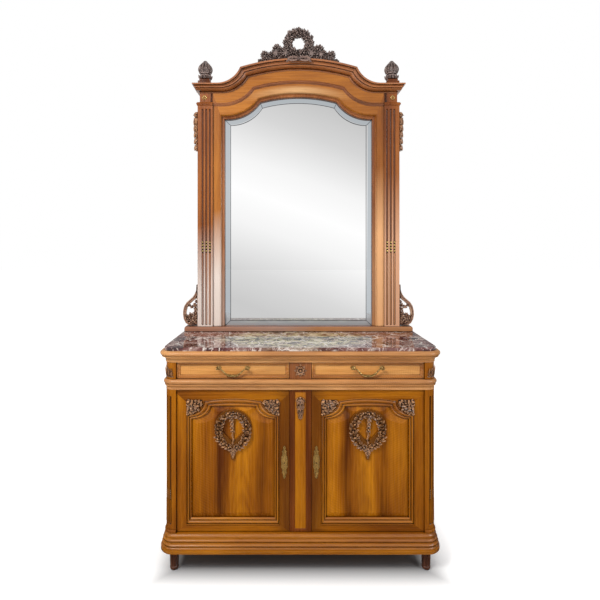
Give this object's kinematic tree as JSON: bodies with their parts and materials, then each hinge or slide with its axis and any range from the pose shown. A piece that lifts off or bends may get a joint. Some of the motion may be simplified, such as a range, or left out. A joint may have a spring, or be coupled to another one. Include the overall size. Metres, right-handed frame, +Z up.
{
  "type": "sideboard",
  "caption": "Walnut sideboard with two panelled doors, two drawers, a marble top and a tall arched mirror between fluted pilasters.",
  "frame": {"origin": "bottom centre of the object's box, on the floor under the feet", "axes": "+Z up, the front with the doors faces -Y, +X to the right of a viewer who looks at the front"},
  "size_m": [1.272, 0.506, 2.6327],
  "materials": {
    "walnut": "satin",
    "walnut_dark": "satin",
    "walnut_figured": "satin",
    "carved": "satin",
    "plain_board": "matte",
    "brass": "satin",
    "iron": "satin",
    "marble": "polished",
    "glass": "polished"
  },
  "bodies": {
    "carcass": {"bottom_board": "plain_board", "case_back": "plain_board", "case_side_left": "walnut", "case_side_right": "walnut", "centre_stile": "walnut_figured", "corner_post_left": "walnut", "corner_post_right": "walnut", "cornice": "walnut_dark", "crest": "carved", "door_pivot_lower_left": "iron", "door_pivot_lower_right": "iron", "door_pivot_upper_left": "iron", "door_pivot_upper_right": "iron", "drawer_board": "plain_board", "drawer_rail": "walnut_dark", "finial_left": "carved", "finial_right": "carved", "foot_front_left": "walnut_dark", "foot_front_right": "walnut_dark", "foot_rear_left": "walnut_dark", "foot_rear_right": "walnut_dark", "frieze_block": "walnut_dark", "marble_top": "marble", "mid_moulding": "walnut", "mirror_backboard": "plain_board", "mirror_frame": "walnut_figured", "mirror_glass": "glass", "mirror_sill": "walnut_dark", "pilaster_left": "walnut_dark", "pilaster_right": "walnut_dark", "plinth": "walnut", "plinth_rear_rail": "plain_board", "scroll_bracket_left": "carved", "scroll_bracket_right": "carved", "shelf": "plain_board", "sub_top": "plain_board", "top_frame": "walnut"},
    "door_left": {"door_frame_left": "walnut", "door_panel_left": "walnut_figured", "escutcheon_left": "brass", "lock_case_left": "iron"},
    "door_right": {"door_frame_right": "walnut", "door_panel_right": "walnut_figured", "escutcheon_right": "brass", "lock_case_right": "iron"},
    "bolt_left": {"lock_bolt_left": "iron"},
    "bolt_right": {"lock_bolt_right": "iron"},
    "drawer_left": {"drawer_front_left": "walnut_figured", "drawer_box_left": "plain_board", "drawer_bottom_left": "plain_board", "handle_post_left_left": "brass", "handle_post_left_right": "brass"},
    "drawer_right": {"drawer_front_right": "walnut_figured", "drawer_box_right": "plain_board", "drawer_bottom_right": "plain_board", "handle_post_right_left": "brass", "handle_post_right_right": "brass"},
    "bail_left": {"drawer_bail_left": "brass"},
    "bail_right": {"drawer_bail_right": "brass"}
  },
  "joints": [
    {"name": "door_left_hinge", "type": "hinge", "parent": "carcass", "child": "door_left", "pos_m": [-0.549, -0.21, 0.5], "axis": [0, 0, -1], "range_deg": [0, 95]},
    {"name": "door_right_hinge", "type": "hinge", "parent": "carcass", "child": "door_right", "pos_m": [0.549, -0.21, 0.5], "axis": [0, 0, 1], "range_deg": [0, 95]},
    {"name": "bolt_left_slide", "type": "slide", "parent": "door_left", "child": "bolt_left", "axis": [1, 0, 0], "range_m": [0, 0.01]},
    {"name": "bolt_right_slide", "type": "slide", "parent": "door_right", "child": "bolt_right", "axis": [-1, 0, 0], "range_m": [0, 0.01]},
    {"name": "drawer_left_slide", "type": "slide", "parent": "carcass", "child": "drawer_left", "axis": [0, -1, 0], "range_m": [0, 0.3]},
    {"name": "drawer_right_slide", "type": "slide", "parent": "carcass", "child": "drawer_right", "axis": [0, -1, 0], "range_m": [0, 0.3]},
    {"name": "bail_left_hinge", "type": "hinge", "parent": "drawer_left", "child": "bail_left", "pos_m": [-0.30275, -0.228, 0.9155], "axis": [-1, 0, 0], "range_deg": [0, 85]},
    {"name": "bail_right_hinge", "type": "hinge", "parent": "drawer_right", "child": "bail_right", "pos_m": [0.30275, -0.228, 0.9155], "axis": [-1, 0, 0], "range_deg": [0, 85]}
  ]
}
